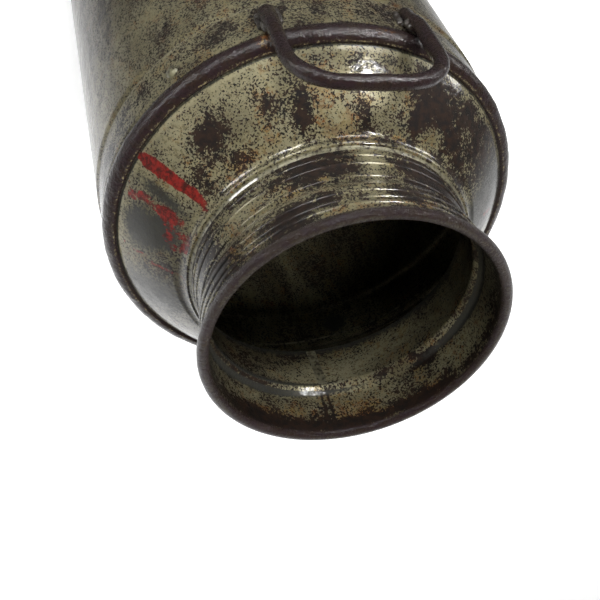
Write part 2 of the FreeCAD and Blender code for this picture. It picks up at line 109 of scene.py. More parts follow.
HANDLE_HALF = 51.0
GRIP_CORNER = 32.0
FOOT_ANGLE = 17.9
FOOT_Z = handle_low.z
LEG_LOW = FOOT_Z + 31.0
FOOT_WIDE = 5.9
FOOT_DEEP = 4.3
FOOT_SEAT = 0.25
RIVET_ANGLE = math.degrees(math.atan2(rivet_low.y + rivet_high.y, rivet_low.x + rivet_high.x))
RIVET_Z = (rivet_low.z + rivet_high.z) / 2
RIVET_HEAD = (rivet_high.z - rivet_low.z) / 2
SEED = 11

# ---------------------------------------------------------------- mesh helpers


def arc_points(start, end, radius, side, step):
    """Points along the arc from start to end, which bulges left of that way when side is 1."""
    start, end = np.array(start, float), np.array(end, float)
    chord = end - start
    half = np.linalg.norm(chord) / 2
    left = np.array([-chord[1], chord[0]]) / (2 * half)
    centre = (start + end) / 2 - left * side * math.sqrt(max(radius * radius - half * half, 0.0))
    first = math.atan2(*(start - centre)[::-1])
    sweep = -side * 2 * math.asin(min(half / radius, 1.0))
    count = max(3, math.ceil(abs(sweep) * radius / step), math.ceil(abs(sweep) / 0.35))
    turns = first + sweep * np.arange(1, count + 1) / count
    return [tuple(centre + radius * np.array([math.cos(t), math.sin(t)])) for t in turns]


def trace(outline, step):
    """Samples a closed outline. (r, z) is a straight run to a corner, (r, z, radius, side) an arc."""
    points = []
    for i, entry in enumerate(outline):
        start, end = outline[i - 1][:2], entry[:2]
        if len(entry) == 4:
            points += arc_points(start, end, entry[2], entry[3], step / 2)
        else:
            count = max(1, round(math.dist(start, end) / step))
            points += [
                (start[0] + (end[0] - start[0]) * k / count, start[1] + (end[1] - start[1]) * k / count)
                for k in range(1, count + 1)
            ]
    points = np.array(points)
    r, z = points.T
    # an outline that runs clockwise is turned round, so that every face looks outwards
    area = np.sum(r * np.roll(z, -1) - z * np.roll(r, -1))
    return points if area > 0 else points[::-1]


def new_mesh(name, vertices, faces, crease):
    """A smooth-shaded object whose edges sharper than crease degrees stay sharp."""
    mesh = bpy.data.meshes.new(name)
    mesh.from_pydata([tuple(v) for v in vertices], [], faces)
    mesh.update()
    mesh.shade_smooth()
    mesh.set_sharp_from_angle(angle=math.radians(crease))
    piece = bpy.data.objects.new(name, mesh)
    bpy.context.scene.collection.objects.link(piece)
    return piece


def lathe(name, outline, segments, step, shift=None):
    """Turns an outline, sampled every step mm. shift(r, angle, z) gives each point's dent, in mm."""
    profile = trace(outline, step)
    count = len(profile)
    angles = np.arange(segments) * 2 * math.pi / segments
    r = np.tile(profile[:, 0], segments)
    z = np.tile(profile[:, 1], segments)
    a = np.repeat(angles, count)
    if shift is not None:
        r = r + shift(r, a, z)
    vertices = np.stack([r * np.cos(a), r * np.sin(a), z], 1) * MM
    faces = []
    for i in range(segments):
        here, there = i * count, (i + 1) % segments * count
        for k in range(count):
            n = (k + 1) % count
            faces.append((here + k, there + k, there + n, here + n))
    return new_mesh(name, vertices, faces, 40.0)


def clean_axis(piece):
    """Joins the points that a turned outline leaves stacked on its own axis."""
    work = bmesh.new()
    work.from_mesh(piece.data)
    bmesh.ops.remove_doubles(work, verts=work.verts, dist=0.01 * MM)
    work.to_mesh(piece.data)
    work.free()


def noise_at(points, size, seed):
    """Perlin noise from about -1 to 1 at points in mm, with features of about the size given."""
    offset = Vector((seed * 17.3, seed * 5.1, seed * 9.7))
    return np.array([noise.noise(Vector(p) / size + offset) for p in points])


def cylinder_noise(r, a, z, size, seed, stretch=1.0):
    """Noise at turned points, its features stretch times as tall as they are wide."""
    points = np.stack([r * np.cos(a), r * np.sin(a), z / stretch], 1)
    return noise_at(points, size, seed)


def hammer(piece, *layers):
    """Pushes each point along its normal by layers of noise, each (size, height, seed) in mm."""
    mesh = piece.data
    count = len(mesh.vertices)
    places = np.empty(count * 3)
    normals = np.empty(count * 3)
    mesh.vertices.foreach_get("co", places)
    mesh.vertex_normals.foreach_get("vector", normals)
    places = places.reshape(-1, 3)
    normals = normals.reshape(-1, 3)
    for size, height, seed in layers:
        push = noise_at(places / MM, size, seed) * height * MM
        places = places + normals * push[:, None]
    mesh.vertices.foreach_set("co", places.ravel())
    mesh.update()


def finish_piece(piece, node, material):
    """Puts a new piece in the frame: its finish, its body and the CAD node it stands for."""
    piece.data.materials.append(material)
    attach(piece, "root")
    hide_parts(node)
    return piece


# ---------------------------------------------------------------- stains, painted light and painted shade, stored at each vertex

# rust: closed dark patches, warm: ochre and amber, pale: bright tin and a painted pool of light inside the
# neck,
# grime: charcoal and painted shade in gaps and deep in the neck, paint: red smears, pits: the dark, lumpy
# skin of the rim
STAINS_AND_PAINTED_LIGHT = ("rust", "warm", "pale", "grime_and_shade", "paint", "pits")


def spot(angle, height, wide, tall, amount):
    """A soft mark (stain, painted light, painted shade) round an angle and a height, wide degrees by tall mm
    to each side.
    """
    def field(a, z):
        away = (a - angle + 180) % 360 - 180
        return amount * np.exp(-((away / wide) ** 2) - ((z - height) / tall) ** 2)
    return field


def ring(height, tall, amount):
    """A soft mark (stain, painted light, painted shade) all the way round at a height."""
    return lambda a, z: amount * np.exp(-(((z - height) / tall) ** 2))


def stroke(points, wide, amount):
    """A brush stroke through (angle, height) points on the breast, wide mm to each side."""
    # the slope's middle radius, and its length for each millimetre of height
    middle_r = 130.0
    slope_run = 1.35

    def flat(a, z):
        away = (np.asarray(a, float) + 180) % 360 - 180
        return np.stack([np.radians(away) * middle_r, np.asarray(z, float) * slope_run], -1)

    def field(a, z):
        here = flat(a, z)
        nearest = np.full(len(z), np.inf)
        corners = flat(*zip(*points))
        for start, end in zip(corners, corners[1:]):
            run = end - start
            along = np.clip((here - start) @ run / (run @ run), 0.0, 1.0)
            nearest = np.minimum(nearest, np.linalg.norm(here - start - along[:, None] * run, axis=1))
        return amount * np.clip(1.5 - nearest / wide, 0.0, 1.0)
    return field


def stain(piece, outside, inside=None, wall=None):
    """Stores the amount of each stain, painted light and painted shade at each vertex. inside holds the
    marks within the wall's radius.
    """
    mesh = piece.data
    places = np.empty(len(mesh.vertices) * 3)
    mesh.vertices.foreach_get("co", places)
    x, y, z = places.reshape(-1, 3).T / MM
    a = np.degrees(np.arctan2(y, x))
    for name in STAINS_AND_PAINTED_LIGHT:
        amount = sum((mark(a, z) for mark in outside.get(name, ())), np.zeros(len(z)))
        if inside is not None:
            within = np.hypot(x, y) < wall(z)
            other = sum((mark(a, z) for mark in inside.get(name, ())), np.zeros(len(z)))
            amount = np.where(within, other, amount)
        mesh.attributes.new(name, "FLOAT", "POINT").data.foreach_set("value", amount)


# ---------------------------------------------------------------- shader helpers


class Shader:
    """A material's node tree, with short calls for the nodes used here."""

    def __init__(self, name):
        self.material = bpy.data.materials.new(name)
        self.material.use_nodes = True
        self.tree = self.material.node_tree
        self.tree.nodes.clear()
        self.out = self.tree.nodes.new("ShaderNodeOutputMaterial")
        self.bsdf = self.tree.nodes.new("ShaderNodeBsdfPrincipled")
        self.tree.links.new(self.bsdf.outputs[0], self.out.inputs[0])
        self.place = self.tree.nodes.new("ShaderNodeTexCoord").outputs["Object"]

    def put(self, socket, value):
        """Links a node's output to a socket, or sets the socket's own value."""
        if isinstance(value, bpy.types.NodeSocket):
            self.tree.links.new(value, socket)
        elif isinstance(value, tuple) and len(value) == 3 and socket.type == "RGBA":
            socket.default_value = (*value, 1.0)
        else:
            socket.default_value = value

    def attribute(self, name):
        """A stain stored at the vertices."""
        node = self.tree.nodes.new("ShaderNodeAttribute")
        node.attribute_name = name
        return node.outputs["Fac"]

    def stretched(self, scale):
        """The object's coordinates, scaled along each axis."""
        node = self.tree.nodes.new("ShaderNodeMapping")
        self.put(node.inputs["Vector"], self.place)
        node.inputs["Scale"].default_value = scale
        return node.outputs[0]

    def noise(self, size, detail=3.0, rough=0.55, distortion=0.0, where=None):
        """Noise whose features are about size millimetres across."""
        node = self.tree.nodes.new("ShaderNodeTexNoise")
        self.put(node.inputs["Vector"], where if where is not None else self.place)
        node.inputs["Scale"].default_value = 1.0 / (size * MM)
        node.inputs["Detail"].default_value = detail
        node.inputs["Roughness"].default_value = rough
        node.inputs["Distortion"].default_value = distortion
        return node.outputs["Fac"]

    def math(self, operation, a, b=0.0, clamp=False):
        node = self.tree.nodes.new("ShaderNodeMath")
        node.operation = operation
        node.use_clamp = clamp
        self.put(node.inputs[0], a)
        self.put(node.inputs[1], b)
        return node.outputs[0]

    def add(self, first, *rest):
        for value in rest:
            first = self.math("ADD", first, value)
        return first

    def times(self, a, b):
        return self.math("MULTIPLY", a, b)

    def step(self, value, low, high, to_low=0.0, to_high=1.0):
        """Smooth ramp from to_low to to_high as value goes from low to high."""
        node = self.tree.nodes.new("ShaderNodeMapRange")
        node.interpolation_type = "SMOOTHSTEP"
        self.put(node.inputs["Value"], value)
        node.inputs["From Min"].default_value = low
        node.inputs["From Max"].default_value = high
        node.inputs["To Min"].default_value = to_low
        node.inputs["To Max"].default_value = to_high
        return node.outputs[0]

    def mix(self, amount, a, b):
        node = self.tree.nodes.new("ShaderNodeMix")
        node.data_type = "RGBA"
        self.put(node.inputs["Factor"], amount)
        self.put(node.inputs[6], a)
        self.put(node.inputs[7], b)
        return node.outputs[2]

    def bump(self, height, distance, normal=None):
        """Bump of a 0 to 1 height, where 1 stands distance millimetres proud."""
        node = self.tree.nodes.new("ShaderNodeBump")
        self.put(node.inputs["Height"], height)
        node.inputs["Distance"].default_value = distance * MM
        node.inputs["Strength"].default_value = 1.0
        if normal is not None:
            self.put(node.inputs["Normal"], normal)
        return node.outputs[0]


# ---------------------------------------------------------------- colours, linear

TIN_PALE = (0.215, 0.193, 0.112)
TIN_CREAM = (0.330, 0.300, 0.190)
TIN_OLIVE = (0.092, 0.078, 0.042)
TIN_GREY = (0.120, 0.118, 0.088)
OCHRE = (0.215, 0.145, 0.050)
AMBER = (0.150, 0.052, 0.010)
BROWN = (0.019, 0.011, 0.0075)
BLACK = (0.008, 0.0065, 0.006)
PURPLE = (0.017, 0.009, 0.010)
CHARCOAL_AND_SHADE = (0.026, 0.026, 0.023)
RED = (0.150, 0.013, 0.010)
RED_DARK = (0.030, 0.008, 0.006)


def old_tin(name, cover, streak=(1.0, 1.0, 1.0), soft=0.0):
    """Old tinned sheet under glossy varnish: olive tin, speckled into closed patches of brown rust.

    cover adds rust all over, streak stretches the pattern, and soft blurs the edges of the rust.
    """
    s = Shader(name)
    where = s.stretched(streak)
    broad = s.step(s.noise(55, 4, 0.6, 0.3, where), 0.36, 0.64)
    middle = s.step(s.noise(13, 5, 0.65, 0.2, where), 0.34, 0.66)
    fine = s.step(s.noise(2.6, 5, 0.72), 0.34, 0.66)
    dots = s.step(s.noise(1.5, 2, 0.5), 0.32, 0.68)

    # bare tin, mottled olive, pale and grey
    tin = s.mix(broad, TIN_OLIVE, TIN_PALE)
    tin = s.mix(s.times(middle, 0.5), tin, TIN_GREY)
    # the pale layer gives bright cream tin, and inside the neck a painted pool of light
    tin = s.mix(s.times(s.attribute("pale"), s.step(fine, 0.1, 0.7, 0.45, 1.0)), tin, TIN_CREAM)
    tin = s.mix(s.step(fine, 0.45, 0.95, 0.0, 0.75), tin, TIN_OLIVE)

    # rust in closed patches, with specks round them and a halo at their edges
    spread = s.add(s.times(broad, -0.34), s.times(middle, 0.46), s.attribute("rust"), cover)
    edge = s.add(spread, s.times(fine, 0.62))
    patch = s.step(edge, 0.86 - soft, 0.98 + soft)
    specks = s.step(s.add(s.times(spread, 0.55), dots), 0.84, 0.94)
    rust = s.math("MAXIMUM", patch, specks)
    halo = s.step(edge, 0.62, 0.9)

    # each layer covers the one before: warm stains, rust, grime and painted shade, paint, and the rim's dark
    # skin
    warm = s.mix(s.step(s.noise(7, 3, 0.6), 0.42, 0.6), OCHRE, AMBER)
    warmth = s.add(s.attribute("warm"), s.step(s.noise(16, 4, 0.65), 0.46, 0.64, 0.0, 0.55))
    warmth = s.times(s.step(s.add(warmth, s.times(fine, 0.5)), 0.5, 1.0), s.step(halo, 0.0, 1.0, 0.35, 1.0))
    colour = s.mix(warmth, tin, warm)
    dark = s.mix(s.step(s.noise(5, 4, 0.7), 0.38, 0.62), BLACK, BROWN)
    dark = s.mix(s.step(s.noise(1.2, 3, 0.6), 0.6, 0.8, 0.0, 0.25), dark, TIN_OLIVE)
    colour = s.mix(rust, colour, dark)
    # charcoal film, and painted shade in the gap under the hoop and deep in the neck
    grime_and_shade = s.step(s.add(s.attribute("grime_and_shade"), s.times(fine, 0.3)), 0.42, 0.95, 0.0, 0.93)
    colour = s.mix(grime_and_shade, colour, CHARCOAL_AND_SHADE)
    worn = s.add(s.times(fine, 0.35), s.times(middle, 0.25))
    paint = s.step(s.add(s.attribute("paint"), worn), 1.08, 1.24)
    red = s.mix(s.step(s.noise(4, 4, 0.7), 0.36, 0.64), RED_DARK, RED)
    colour = s.mix(paint, colour, red)
    pits = s.attribute("pits")
    bar = s.mix(s.step(s.noise(6, 4, 0.6), 0.38, 0.62), BROWN, PURPLE)
    colour = s.mix(pits, colour, bar)

    s.put(s.bsdf.inputs["Base Color"], colour)
    s.bsdf.inputs["Specular IOR Level"].default_value = 0.15
    s.put(s.bsdf.inputs["Metallic"], s.step(s.math("MAXIMUM", rust, paint), 0.0, 1.0, 0.4, 0.0))
    s.put(s.bsdf.inputs["Roughness"], s.step(s.add(rust, middle), 0.3, 1.6, 0.32, 0.55))
    s.bsdf.inputs["Coat Weight"].default_value = 1.0
    s.bsdf.inputs["Coat Roughness"].default_value = 0.06
    # the varnish smooths over the rust's own roughness, so it has a softer bump
    lumps = s.step(s.noise(1.9, 4, 0.65), 0.3, 0.7)
    wavy = s.bump(s.noise(20, 2, 0.5), 0.4)
    rough = s.bump(s.add(s.times(rust, 0.6), s.times(dots, 0.4)), 0.09, wavy)
    s.put(s.bsdf.inputs["Normal"], s.bump(s.times(lumps, pits), 0.5, rough))
    skin = s.bump(s.add(s.noise(5.0, 3, 0.55), s.times(fine, 0.12)), 0.16, wavy)
    s.put(s.bsdf.inputs["Coat Normal"], s.bump(s.times(lumps, pits), 0.4, skin))
    return s.material


def dark_bar(name):
    """Thick dark brown rust and varnish on the rods and hoops, pitted and sparkling."""
    s = Shader(name)
    middle = s.noise(9, 5, 0.65)
    fine = s.step(s.noise(1.7, 4, 0.68), 0.32, 0.68)
    colour = s.mix(s.step(middle, 0.4, 0.62), PURPLE, BROWN)
    colour = s.mix(s.step(fine, 0.5, 0.95, 0.0, 0.8), colour, BLACK)
    warm = s.mix(s.step(s.noise(5, 3, 0.6), 0.36, 0.54), OCHRE, AMBER)
    colour = s.mix(s.step(s.add(s.attribute("warm"), s.times(fine, 0.5)), 0.6, 1.0), colour, warm)
    worn = s.step(s.add(s.attribute("pale"), s.times(fine, 0.5)), 0.7, 1.05, 0.0, 0.9)
    colour = s.mix(worn, colour, s.mix(middle, OCHRE, TIN_CREAM))
    s.put(s.bsdf.inputs["Base Color"], colour)
    s.bsdf.inputs["Metallic"].default_value = 0.1
    s.put(s.bsdf.inputs["Roughness"], s.step(fine, 0.2, 0.9, 0.35, 0.55))
    s.bsdf.inputs["Coat Weight"].default_value = 1.0
    s.bsdf.inputs["Coat Roughness"].default_value = 0.05
    s.bsdf.inputs["Specular IOR Level"].default_value = 0.15
    swell = s.bump(s.noise(3.6, 3, 0.55), 0.8)
    s.put(s.bsdf.inputs["Normal"], s.bump(fine, 0.2, swell))
    s.put(s.bsdf.inputs["Coat Normal"], s.bump(fine, 0.09, swell))
    return s.material


def grey_metal(name, colour, lumps, spotted=0.5):
    """Bare weld metal, solder or wire, dulled and spotted with rust.

    lumps is the height of its lumps in mm, and less rust shows the higher spotted is.
    """
    s = Shader(name)
    spots = s.step(s.noise(3, 4, 0.65), spotted, spotted + 0.12)
    tone = s.mix(s.step(s.noise(6, 3, 0.6), 0.35, 0.65), colour, tuple(c * 0.6 for c in colour))
    s.put(s.bsdf.inputs["Base Color"], s.mix(s.times(spots, 0.85), tone, BROWN))
    s.bsdf.inputs["Metallic"].default_value = 0.4
    s.put(s.bsdf.inputs["Roughness"], s.step(s.noise(2, 3, 0.6), 0.3, 0.7, 0.3, 0.55))
    s.bsdf.inputs["Coat Weight"].default_value = 1.0
    s.bsdf.inputs["Coat Roughness"].default_value = 0.08
    s.put(s.bsdf.inputs["Normal"], s.bump(s.noise(1.5, 3, 0.6), lumps))
    return s.material


TIN_BODY = old_tin("TinBody", 0.24, (1.0, 1.0, 0.45), 0.22)
TIN_BREAST = old_tin("TinBreast", 0.24)
TIN_NECK = old_tin("TinNeck", 0.40, (1.0, 1.0, 1.8))
DARK_BAR = dark_bar("DarkBar")
WELD_METAL = grey_metal("WeldMetal", (0.10, 0.095, 0.085), 0.4, 0.42)
SOLDER = grey_metal("Solder", (0.20, 0.185, 0.12), 0.15)
RIVET_METAL = grey_metal("RivetMetal", (0.17, 0.16, 0.095), 0.5)

# ---------------------------------------------------------------- body, bottom and foot


def body_dents(r, a, z):
    """The thin body is a little wavy all round and has a few shallow knocks."""
    wave = 0.35 * cylinder_noise(r, a, z, 70, SEED, 2.5)
    knocks = spot(-135, 210, 9, 30, -1.6)(np.degrees(a), z) + spot(40, 130, 8, 22, -1.2)(np.degrees(a), z)
    return (wave + knocks) * np.clip((SKIRT_BOTTOM - 8 - z) / 40, 0, 1) * np.clip((z - 50) / 30, 0, 1)


def make_body():
    """The body sheet, stepped in under the breast's skirt."""
    swage = SKIRT_BOTTOM - 1.8
    swage_half = 1.75
    body = lathe("can_body", [
        (BODY_R - SHEET, body_low.z),
        (BODY_R, body_low.z),
        (BODY_R, swage - swage_half),
        (SWAGE_R, swage + swage_half),
        (SWAGE_R, body_high.z),
        (SWAGE_R - SHEET, body_high.z),
        (SWAGE_R - SHEET, swage),
        (BODY_R - SHEET, swage - swage_half * 2),
    ], segments=360, step=6.0, shift=body_dents)
    stain(body, {
        "rust": [spot(-50, 425, 12, 22, 0.15), spot(-95, 430, 14, 10, 0.2), ring(60, 25, 0.25)],
        # a darker band just under the skirt's edge
        "grime_and_shade": [ring(SKIRT_BOTTOM - 2.5, 2.5, 0.35)],
    }, {
        "rust": [ring(40, 30, 0.35)],
        "grime_and_shade": [spot(107.6, 464, 4.2, 11, 1.2)],
    }, lambda z: SWAGE_R - SHEET / 2 + np.where(z < SKIRT_BOTTOM - 3.6, BODY_R - SWAGE_R, 0.0))
    return finish_piece(body, "body_shell", TIN_BODY)


def make_pan():
    """The inverted pan, domed upwards, seen from below and deep inside the can."""
    corner = 3.6
    rise = 7.0
    wall = BODY_R - SHEET - GAP
    inside = wall - SHEET
    edge = inside - 16.0
    flat = pan_high.z - rise
    dome = (edge * edge + rise * rise) / (rise * 2)
    bend = corner - SHEET
    pan = lathe("can_bottom", [
        (0.0, pan_high.z - SHEET),
        (edge, flat - SHEET, dome, 1),
        (inside - bend, flat - SHEET),
        (inside, flat - SHEET - bend, bend, 1),
        (inside, pan_low.z),
        (wall, pan_low.z),
        (wall, flat - corner),
        (wall - corner, flat, corner, -1),
        (edge, flat),
        (0.0, pan_high.z, dome, -1),
    ], segments=240, step=5.0)
    clean_axis(pan)
    stain(pan, {"rust": [ring(flat - SHEET, 3.0, 0.3)]})
    return finish_piece(pan, "bottom_pan", TIN_BODY)


def make_foot():
    """The heavy foot hoop with its rolled toe and the bead on its top edge."""
    toe = 5.0
    toe_lift = 0.6
    bead = 2.6
    thick = 2.2
    inner = BODY_R + GAP
    outer = inner + thick
    toe_inner = inner - 3.0
    toe_outer = outer - 1.0
    foot = lathe("foot_hoop", [
        (inner, toe * 2 + toe_lift),
        (toe_inner, toe * 2),
        (toe_inner - toe, toe, toe, -1),
        (toe_inner, 0.0, toe, -1),
        (toe_outer, 0.0),
        (toe_outer + toe, toe, toe, -1),
        (toe_outer, toe * 2, toe, -1),
        (outer, toe * 2 + toe_lift),
        (outer, foot_high.z - bead * 2),
        (outer + bead, foot_high.z - bead, bead, -1),
        (outer, foot_high.z, bead, -1),
        (inner, foot_high.z),
    ], segments=480, step=2.0)
    stain(foot, {
        "pale": [ring(0.0, 2.5, 0.8)],
        "warm": [spot(-60, 25, 30, 12, 0.4), spot(150, 20, 25, 9, 0.4)],
    })
    return finish_piece(foot, "bottom_hoop", DARK_BAR)


# ---------------------------------------------------------------- breast, hoop and neck


def neck_inside(z):
    """The conical neck's inner radius at a height."""
    return NECK_LOW_R + (NECK_R - NECK_LOW_R) * (z - NECK_BOTTOM) / (NECK_TOP - NECK_BOTTOM)


def neck_outside(z):
    """The conical neck's outer radius at a height."""
    return neck_inside(z) + NECK_SHEET


def breast_dents(r, a, z):
    """The beaten slope of the breast waves a little, less at its edges where it is held."""
    held = np.clip((z - CORNER_TOP) / 12, 0, 1) * np.clip((COLLAR_Z - 4 - z) / 10, 0, 1)
    return 0.45 * cylinder_noise(r, a, z, 45, SEED + 1) * held


def make_breast():
    """Skirt, corner, crowned slope and collar, with every stain seen on the slope and painted shade in the
    gap under the hoop's lip.
    """
    collar_run = 8
    foot_r, foot_z = COLLAR_R + collar_run, COLLAR_Z - collar_run
    inner_z = COLLAR_Z - 1.5
    breast = lathe("can_breast", [
        (SWAGE_R + GAP, SKIRT_BOTTOM),
        (SKIRT_R, SKIRT_BOTTOM),
        (SKIRT_R, CORNER_Z),
        (CORNER_R, CORNER_TOP, CORNER_CURVE, -1),
        (foot_r, foot_z, SLOPE_CURVE, -1),
        (COLLAR_R, COLLAR_Z, COLLAR_CURVE, 1),
        (COLLAR_R, COLLAR_TOP, COLLAR_LIP, -1),
        (neck_outside(COLLAR_TOP) + GAP, COLLAR_TOP),
        (neck_outside(inner_z) + GAP, inner_z),
        (foot_r - SHEET * 0.7, foot_z - SHEET * 0.8, COLLAR_CURVE - 1.5, -1),
        (CORNER_R - SHEET * 0.8, CORNER_TOP - SHEET, SLOPE_CURVE - 1.0, 1),
        (SWAGE_R + GAP, CORNER_Z - SHEET / 2, CORNER_CURVE - 1.0, 1),
    ], segments=640, step=2.4, shift=breast_dents)
    stain(breast, {
        "rust": [
            spot(-134, 519, 19, 22, 0.85), spot(-123, 530, 3, 5, -0.7), spot(-135, 517, 3, 4, -0.6),
            spot(-114, 526, 3, 11, 0.5), spot(-100, 522, 8, 7, -0.3), spot(-95, 531, 3.2, 9, 0.7),
            spot(-75, 524, 4.2, 13, 0.95), spot(-84, 517, 5, 12, -0.1), spot(-65, 518, 3, 7, 0.55),
            spot(-51, 532, 6, 5, 0.6), spot(-46, 517, 5.5, 9, 0.75), spot(-35.5, 528, 4.5, 8, 0.75),
            spot(-57, 517, 4, 6, -0.3), spot(-40, 505, 6, 7, -0.3), spot(-93, 500, 14, 6, 0.1),
            spot(150, 520, 20, 14, 0.4), spot(95, 528, 25, 9, 0.35), spot(50, 510, 12, 12, 0.3),
            ring(497, 2.2, -0.35), ring(541, 2.5, 0.3), ring(462, 12, 0.3),
        ],
        "warm": [
            spot(-83, 516, 6, 12, 0.75), spot(-72, 500, 5, 4, 0.35), spot(-58, 534, 12, 5, 0.35),
            spot(-88, 536, 6, 5, 0.5), spot(120, 515, 15, 12, 0.4),
        ],
        "pale": [
            ring(496.5, 1.6, 0.4), spot(-100, 523, 11, 8, 0.8), spot(-60, 510, 9, 12, 0.5),
            spot(-42, 505, 8, 7, 0.5), spot(-84, 514, 5, 8, 0.5), spot(-70, 531, 6, 6, 0.3),
            ring(SKIRT_BOTTOM, 0.9, 1.0),
        ],
        "grime_and_shade": [
            # the first ring is painted shade in the gap under the hoop's lip; the spots are charcoal
            ring(494.6, 0.9, 0.9), spot(-7, 512, 8, 14, 1.1), spot(-22, 516, 3, 20, 0.75),
            spot(-11, 528, 8, 9, 0.75), spot(20, 515, 14, 30, 0.9), spot(-166, 515, 12, 24, 0.75),
            spot(190, 520, 16, 30, 0.6), spot(-32, 532, 3, 5, 0.4),
        ],
        "paint": [
            stroke([(-26.5, 495.5), (-27, 502), (-28.5, 514), (-29, 524), (-29.5, 530)], 3.6, 1.0),
            stroke([(-27, 503), (-28.5, 522)], 6.5, 0.9),
            stroke([(-30.5, 530), (-28.5, 538)], 5.0, 1.0),
            stroke([(-15, 501), (-17.5, 509), (-17, 516), (-19, 524), (-17.5, 532)], 4.6, 0.94),
            stroke([(-16, 524), (-12, 530), (-13, 536), (-9, 540)], 5.6, 0.9),
            stroke([(-9, 527), (-6, 533), (-8, 538)], 4.4, 0.86),
            stroke([(1.5, 498), (3, 508), (2.5, 517)], 2.2, 0.82),
            stroke([(4.5, 520), (5, 530), (6.5, 539)], 2.2, 0.84),
            stroke([(-172, 503), (-173, 512), (-172, 520)], 3.0, 0.86),
        ],
    })
    return finish_piece(breast, "breast", TIN_BREAST)


def make_hoop():
    """The half-round hoop over the corner, hammered a little uneven."""
    lip = 1.2
    lip_run = 1.92
    hoop = lathe("shoulder_hoop", [
        (HOOP_LOW_R, hoop_low.z, CORNER_CURVE + GAP, 1),
        (CORNER_R + GAP + lip_run, CORNER_TOP + GAP + lip, HOOP_CURVE, -1),
        (CORNER_R + GAP, CORNER_TOP + GAP),
    ], segments=720, step=1.4)
    stain(hoop, {
        "warm": [spot(-70.5, 488, 2.6, 8, 0.6), spot(-100, 490, 6, 4, 0.35), spot(60, 485, 20, 8, 0.4)],
        "pale": [ring(CORNER_TOP + lip, 0.7, 0.45), spot(-62, 486, 10, 6, 0.3)],
    })
    hammer(hoop, (14, 0.35, SEED + 2), (5, 0.16, SEED + 3))
    return finish_piece(hoop, "breast_hoop", DARK_BAR)


def ridge(wall, height):
    """A turned ridge on an outer wall, met from above."""
    half = 1.6
    curve = 2.0
    return [(wall(height + half), height + half), (wall(height - half), height - half, curve, 1)]


